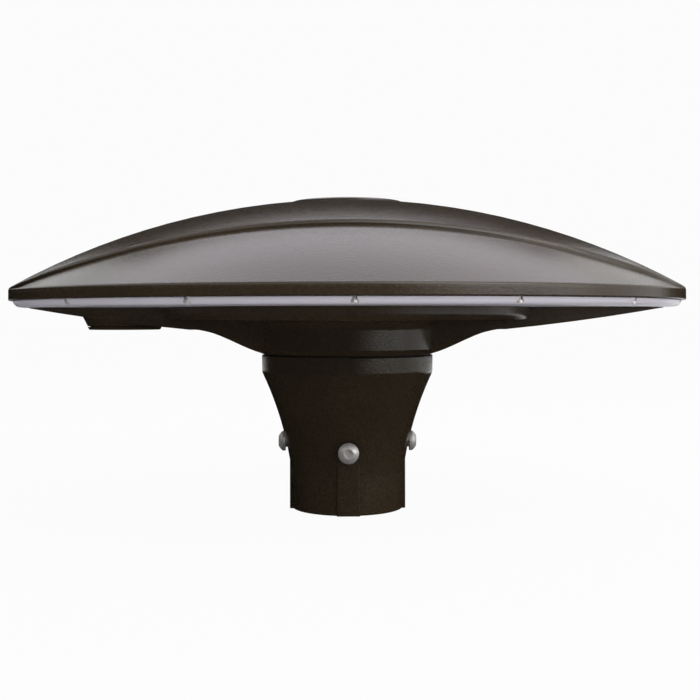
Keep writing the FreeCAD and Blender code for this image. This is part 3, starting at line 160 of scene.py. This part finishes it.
# Joint of neck and hub: a flat rubber gasket, four zinc-plated bolts and a rubber grommet for the wires.
# The rubber is moulded and dusty black, and the plating has a cloudy, faintly blue bloom. The light's other
# gaskets and inner screws are the same.


def clouded(tree, place, size, detail, dark, light):
    """A colour that drifts between two shades in patches of a real size."""
    drift = add(tree, "ShaderNodeTexNoise", {"Vector": place, "Scale": 1 / size, "Detail": detail})
    colour = add(
        tree,
        "ShaderNodeMix",
        {"Factor": drift.outputs["Fac"], "A": hex_colour(dark), "B": hex_colour(light)},
        data_type="RGBA",
    )
    return colour.outputs["Result"]


# Patches of dust on the rubber and of bloom on the zinc, in metres.
RUBBER_DUST = 0.002
ZINC_BLOOM = 0.003

seal_rubber, tree, place = start_finish("moulded_black_rubber")
colour = clouded(tree, place, RUBBER_DUST, 5.0, "#141313", "#242322")
end_finish(tree, {"Base Color": colour, "Roughness": 0.8, "IOR": 1.52})
dress(seal_rubber, "neck_gasket", "hub_grommet", "sensor_port_gasket", "base_gasket")
dress(seal_rubber, "outer_lens_gasket", "inner_lens_gasket", "crown_gasket")

zinc, tree, place = start_finish("zinc_plated_steel")
colour = clouded(tree, place, ZINC_BLOOM, 4.0, "#a4a9b0", "#c2c3c4")
end_finish(tree, {"Base Color": colour, "Metallic": 1.0, "Roughness": 0.38})
dress(zinc, "neck_bolts", "bracket_screws", "driver_screws", "device_screws")
dress(zinc, "led_plate_screws", "led_board_screws", "crown_cap_screws")

# Base casting: one die-cast piece with the hub, the disc and two arms, in the same bronze coat as the neck.
# The sensor port's cover is a thin cast cap, and the screws that show from below are stainless.

dress(powder_coat, "base_casting", "sensor_port_cover")
dress(stainless, "sensor_cover_screws", "base_screws")

# Driver tray: a bare aluminium plate in the closed bay that carries driver, surge protector and terminals.
# Rolled aluminium, as in the LED plate too, has fine streaks along its length. The driver's shell is satin
# anodised, and surge protector and terminal block are moulded nylon with a spark-eroded skin.

# Streaks of the rolled plate, in metres: 60 to the metre along it, and 0.4 mm wide.
STREAK_LENGTH = 1 / 60
STREAK_WIDTH = 0.0004
# Grain of the anodising, and width and height of the nylon's spark marks.
ANODISED_GRAIN = 0.0008
NYLON_SPARK = 0.0006
NYLON_SPARK_RISE = 0.0001
# Nylon pieces: finish, colour, roughness and node.
NYLONS = (
    ("moulded_black_nylon", "#1d1d1f", 0.55, "surge_protector"),
    ("moulded_white_nylon", "#e4e2dc", 0.5, "terminal_block"),
)

mill_aluminium, tree, place = start_finish("rolled_aluminium")
stretch = add(
    tree,
    "ShaderNodeMapping",
    {"Vector": place, "Scale": (1 / STREAK_LENGTH, 1 / STREAK_WIDTH, 1 / STREAK_WIDTH)},
)
streak = add(tree, "ShaderNodeTexNoise", {"Vector": stretch.outputs["Vector"], "Scale": 1.0, "Detail": 3.0})
roll = add(tree, "ShaderNodeMapRange", {"Value": streak.outputs["Fac"], "To Min": 0.28, "To Max": 0.48})
end_finish(tree, {"Base Color": hex_colour("#c6c7c8"), "Metallic": 1.0, "Roughness": roll.outputs["Result"]})
dress(mill_aluminium, "driver_bracket", "led_plate")

driver_shell, tree, place = start_finish("satin_anodised_aluminium")
grain = add(tree, "ShaderNodeTexNoise", {"Vector": place, "Scale": 1 / ANODISED_GRAIN, "Detail": 2.0})
satin = add(tree, "ShaderNodeMapRange", {"Value": grain.outputs["Fac"], "To Min": 0.4, "To Max": 0.52})
end_finish(tree, {"Base Color": hex_colour("#9b9da1"), "Metallic": 1.0, "Roughness": satin.outputs["Result"]})
dress(driver_shell, "driver_case")

for finish, colour, roughness, node in NYLONS:
    nylon, tree, place = start_finish(finish)
    spark = add(tree, "ShaderNodeTexNoise", {"Vector": place, "Scale": 1 / NYLON_SPARK, "Detail": 2.0})
    skin = add(
        tree,
        "ShaderNodeBump",
        {"Height": spark.outputs["Fac"], "Strength": 0.2, "Distance": NYLON_SPARK_RISE},
    )
    end_finish(
        tree,
        {
            "Base Color": hex_colour(colour),
            "Roughness": roughness,
            "IOR": 1.53,
            "Normal": skin.outputs["Normal"],
        },
    )
    dress(nylon, node)

# LED boards: two crescents with a white solder mask, two rows of square emitters each.
# The mask is a glossy lacquer, and each emitter is a yellow phosphor in clear silicone.

# Waves of the lacquer's flow and grains of the phosphor, in metres.
MASK_FLOW = 0.004
PHOSPHOR_POWDER = 0.0005

solder_mask, tree, place = start_finish("white_solder_mask")
flow = add(tree, "ShaderNodeTexNoise", {"Vector": place, "Scale": 1 / MASK_FLOW, "Detail": 3.0})
gloss = add(tree, "ShaderNodeMapRange", {"Value": flow.outputs["Fac"], "To Min": 0.18, "To Max": 0.3})
end_finish(tree, {"Base Color": hex_colour("#ecece8"), "Roughness": gloss.outputs["Result"], "IOR": 1.5})
dress(solder_mask, "led_board_front", "led_board_rear")

phosphor, tree, place = start_finish("yellow_led_phosphor")
colour = clouded(tree, place, PHOSPHOR_POWDER, 3.0, "#d9b53a", "#f0d668")
end_finish(tree, {"Base Color": colour, "Roughness": 0.25, "IOR": 1.41})
dress(phosphor, "led_emitters_front", "led_emitters_rear")

# Lens ring: an opal polycarbonate ring moulded in one piece, held up to the rim by sixteen pan-head screws.
# Opal polycarbonate is milky and slightly lilac, with a satin moulded skin.

# Clouds in the milk, in metres.
OPAL_CLOUD = 0.02
# How far light spreads in the milky plastic, in metres for red, green and blue.
OPAL_SPREAD = (0.004, 0.004, 0.0045)

opal, tree, place = start_finish("opal_polycarbonate")
colour = clouded(tree, place, OPAL_CLOUD, 3.0, "#e8e2f0", "#f1ecf8")
end_finish(
    tree,
    {
        "Base Color": colour,
        "Roughness": 0.28,
        "IOR": 1.58,
        "Subsurface Weight": 0.35,
        "Subsurface Radius": OPAL_SPREAD,
        "Subsurface Scale": 1.0,
    },
)
dress(opal, "lens_ring")
dress(stainless, "lens_screws")

# Dome: the die-cast top of the dish, a shallow ball with a raised band across it and a sloped panel at front
# and rear. Its crown cap is a separate turned disc, both in the bronze coat.

dress(powder_coat, "dome", "crown_cap")

# Rim lip: the small upright edge that stands along the top of the rim, cast with the dome and coated with it.
# Its outer corner is rounded and catches the light.

# Outer radius, width, heights above the fitter's mouth and rounding, in metres, then steps and joining.
LIP_OUTER = 0.25995
LIP_WIDTH = 0.0023
LIP_FOOT = 0.1690
LIP_TOP = 0.1726
LIP_ROUND = 0.0019
LIP_ROUND_STEPS = 5
LIP_STEPS = 360
LIP_WELD = 0.000005
LIP_CREASE = math.radians(35)
UPRIGHT = math.pi / 2

bpy.ops.object.select_all(action="DESELECT")
lip_middle = (LIP_OUTER - LIP_WIDTH / 2, 0, (LIP_FOOT + LIP_TOP) / 2)
bpy.ops.mesh.primitive_plane_add(size=1, location=lip_middle, rotation=(UPRIGHT, 0, 0))
lip = bpy.context.object
lip.name = "rim_lip"
lip.scale = (LIP_WIDTH, LIP_TOP - LIP_FOOT, 1)
bpy.ops.object.transform_apply(location=True, rotation=True, scale=True)
for corner in lip.data.vertices:
    corner.select = corner.co.x > lip_middle[0] and corner.co.z > lip_middle[2]
for side in list(lip.data.edges) + list(lip.data.polygons):
    side.select = False
bpy.ops.object.mode_set(mode="EDIT")
bpy.ops.mesh.select_mode(type="VERT")
bpy.ops.mesh.bevel(offset=LIP_ROUND, segments=LIP_ROUND_STEPS, affect="VERTICES")
bpy.ops.mesh.select_all(action="SELECT")
bpy.ops.mesh.delete(type="ONLY_FACE")
bpy.ops.mesh.select_all(action="SELECT")
bpy.ops.mesh.spin(steps=LIP_STEPS, angle=2 * math.pi, center=(0, 0, 0), axis=(0, 0, 1))
bpy.ops.mesh.select_all(action="SELECT")
bpy.ops.mesh.remove_doubles(threshold=LIP_WELD)
bpy.ops.mesh.normals_make_consistent(inside=False)
bpy.ops.object.mode_set(mode="OBJECT")
bpy.ops.object.shade_smooth_by_angle(angle=LIP_CREASE)
lip.data.materials.append(powder_coat)
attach(lip, "housing")

# Floor and sky: a plain sheet of white paper under a plain white sky.
# To the camera and in reflections both are nearly pure white, and as light they are softer.

# Side of the floor and patches of the paper's pulp, in metres.
FLOOR_SIDE = 60.0
PAPER_PULP = 0.01
# How much of the floor is plain white to the camera and in reflections; the rest takes the light and shadow.
FLOOR_WHITE = 0.96
# Far off, floor and sky have one tone, so that no line shows between them.
SKY_WHITE = 0.972
SKY_FILL = 0.45
WHITE = (1, 1, 1, 1)


def seen_plainly(tree):
    """1 for a ray of the camera, of a reflection or through a clear piece, and 0 for one that only lights."""
    path = add(tree, "ShaderNodeLightPath", {}).outputs
    seen = path["Is Camera Ray"]
    for ray in ("Is Glossy Ray", "Is Transmission Ray"):
        seen = add(tree, "ShaderNodeMath", {0: seen, 1: path[ray]}, operation="MAXIMUM").outputs["Value"]
    return seen


bpy.ops.object.select_all(action="DESELECT")
bpy.ops.mesh.primitive_plane_add(size=FLOOR_SIDE, location=(0, 0, 0))
floor = bpy.context.object
floor.name = "floor"
paper, tree, place = start_finish("white_paper")
colour = clouded(tree, place, PAPER_PULP, 2.0, "#cacac9", "#d0d0cf")
matt = add(tree, "ShaderNodeBsdfDiffuse", {"Color": colour})
white = add(tree, "ShaderNodeEmission", {"Color": WHITE, "Strength": 1.0})
share = add(tree, "ShaderNodeMath", {0: seen_plainly(tree), 1: FLOOR_WHITE}, operation="MULTIPLY")
mixed = add(
    tree,
    "ShaderNodeMixShader",
    {"Fac": share.outputs["Value"], 1: matt.outputs["BSDF"], 2: white.outputs["Emission"]},
)
add(tree, "ShaderNodeOutputMaterial", {"Surface": mixed.outputs["Shader"]})
floor.data.materials.append(paper)

world = bpy.data.worlds.new("studio")
bpy.context.scene.world = world
world.use_nodes = True
tree = world.node_tree
tree.nodes.clear()
dim = add(tree, "ShaderNodeBackground", {"Color": WHITE, "Strength": SKY_FILL})
plain = add(tree, "ShaderNodeBackground", {"Color": WHITE, "Strength": SKY_WHITE})
mixed = add(
    tree,
    "ShaderNodeMixShader",
    {"Fac": seen_plainly(tree), 1: dim.outputs["Background"], 2: plain.outputs["Background"]},
)
add(tree, "ShaderNodeOutputWorld", {"Surface": mixed.outputs["Shader"]})

# Flags: cards of black flock that stand round the dish and lie under it, seen only in its reflections.
# They keep the rim, the band and the neck dark.

# Tufts of the flock, in metres.
FLOCK_NAP = 0.004
# Height of the cards that lie on the floor, just enough to cover it.
ON_FLOOR = 0.0004
# Name, width, height, middle in metres, and turn.
FLAGS = (
    ("rear_flag", 1.4, 1.08, (0.0, 1.3, 0.6), (UPRIGHT, 0, 0)),
    ("low_rear_flag", 5.0, 0.46, (0.0, 1.31, 0.29), (UPRIGHT, 0, 0)),
    ("front_flag", 3.4, 0.7, (-1.1, -2.2, 0.35), (UPRIGHT, 0, 0)),
    ("left_flag", 4.6, 0.7, (-1.6, 0.2, 0.35), (UPRIGHT, 0, UPRIGHT)),
    ("right_flag", 2.8, 0.13, (1.6, -1.5, 0.085), (UPRIGHT, 0, UPRIGHT / 2)),
    ("front_floor_flag", 2.9, 2.55, (-0.15, -0.925, ON_FLOOR), (0, 0, 0)),
    ("rear_floor_flag", 1.95, 0.95, (-0.625, 0.825, ON_FLOOR), (0, 0, 0)),
)

flock, tree, place = start_finish("black_flock")
colour = clouded(tree, place, FLOCK_NAP, 2.0, "#0c0c0c", "#141414")
felt = add(tree, "ShaderNodeBsdfDiffuse", {"Color": colour})
add(tree, "ShaderNodeOutputMaterial", {"Surface": felt.outputs["BSDF"]})

for name, width, height, middle, turn in FLAGS:
    bpy.ops.mesh.primitive_plane_add(size=1, location=middle, rotation=turn)
    card = bpy.context.object
    card.name = name
    card.scale = (width, height, 1)
    card.visible_camera = False
    card.visible_diffuse = False
    card.visible_shadow = False
    card.data.materials.append(flock)

# Soft boxes: three large area lamps behind cloth. One hangs high behind the dish and shows in the panels,
# one stands to the right, and one hangs to the right of the camera and lights the neck.

PLAIN_CLOTH = (1, 1, 1)
# The overhead cloth is slightly lilac, which shows on the panels.
LILAC_CLOTH = (1.0, 0.93, 1.1)
# Name, place and aim in metres, width, height, power in watts and cloth.
SOFT_BOXES = (
    ("overhead_box", (0.0, 1.06, 1.66), (0, 0, 0.2), 2.8, 1.0, 7.6, LILAC_CLOTH),
    ("right_box", (1.5, -1.15, 0.78), (0, 0, 0.15), 1.8, 1.4, 12, PLAIN_CLOTH),
    ("front_box", (1.0, -1.3, 1.7), (0, 0, 0.12), 2.0, 1.6, 21, PLAIN_CLOTH),
)

for name, stand, aim, width, height, power, cloth in SOFT_BOXES:
    lamp = bpy.data.lights.new(name, "AREA")
    lamp.shape = "RECTANGLE"
    lamp.size = width
    lamp.size_y = height
    lamp.energy = power
    lamp.color = cloth
    soft_box = bpy.data.objects.new(name, lamp)
    bpy.context.scene.collection.objects.link(soft_box)
    soft_box.location = stand
    across, along, rise = [there - here for there, here in zip(aim, stand)]
    soft_box.rotation_euler = (math.atan2(math.hypot(across, along), -rise), 0, math.atan2(-across, along))
    soft_box.visible_camera = False

# Camera: just below the rim, almost square to the front, a little to the left of it and a hair off level.
# The two pixels are where the fitter's axis and the camera's own height fall in the photograph's frame.

CAMERA_DISTANCE = 0.868
CAMERA_HEIGHT = 0.1523
CAMERA_TURN = math.radians(0.95)
CAMERA_ROLL = math.radians(0.1)
HORIZON_PIXEL = 316.6
AXIS_PIXEL = 347.2
FOCAL_PIXELS = 1080
IMAGE_PIXELS = 700
SENSOR = 36.0

camera = bpy.data.cameras.new("camera")
camera.sensor_width = SENSOR
camera.lens = SENSOR * FOCAL_PIXELS / IMAGE_PIXELS
camera.shift_x = 0.5 - AXIS_PIXEL / IMAGE_PIXELS
camera.shift_y = HORIZON_PIXEL / IMAGE_PIXELS - 0.5
tripod = bpy.data.objects.new("camera", camera)
bpy.context.scene.collection.objects.link(tripod)
tripod.location = (
    -CAMERA_DISTANCE * math.sin(CAMERA_TURN),
    -CAMERA_DISTANCE * math.cos(CAMERA_TURN),
    CAMERA_HEIGHT,
)
tripod.rotation_euler = (UPRIGHT, CAMERA_ROLL, -CAMERA_TURN)
bpy.context.scene.camera = tripod
bpy.context.scene.view_settings.view_transform = "Standard"
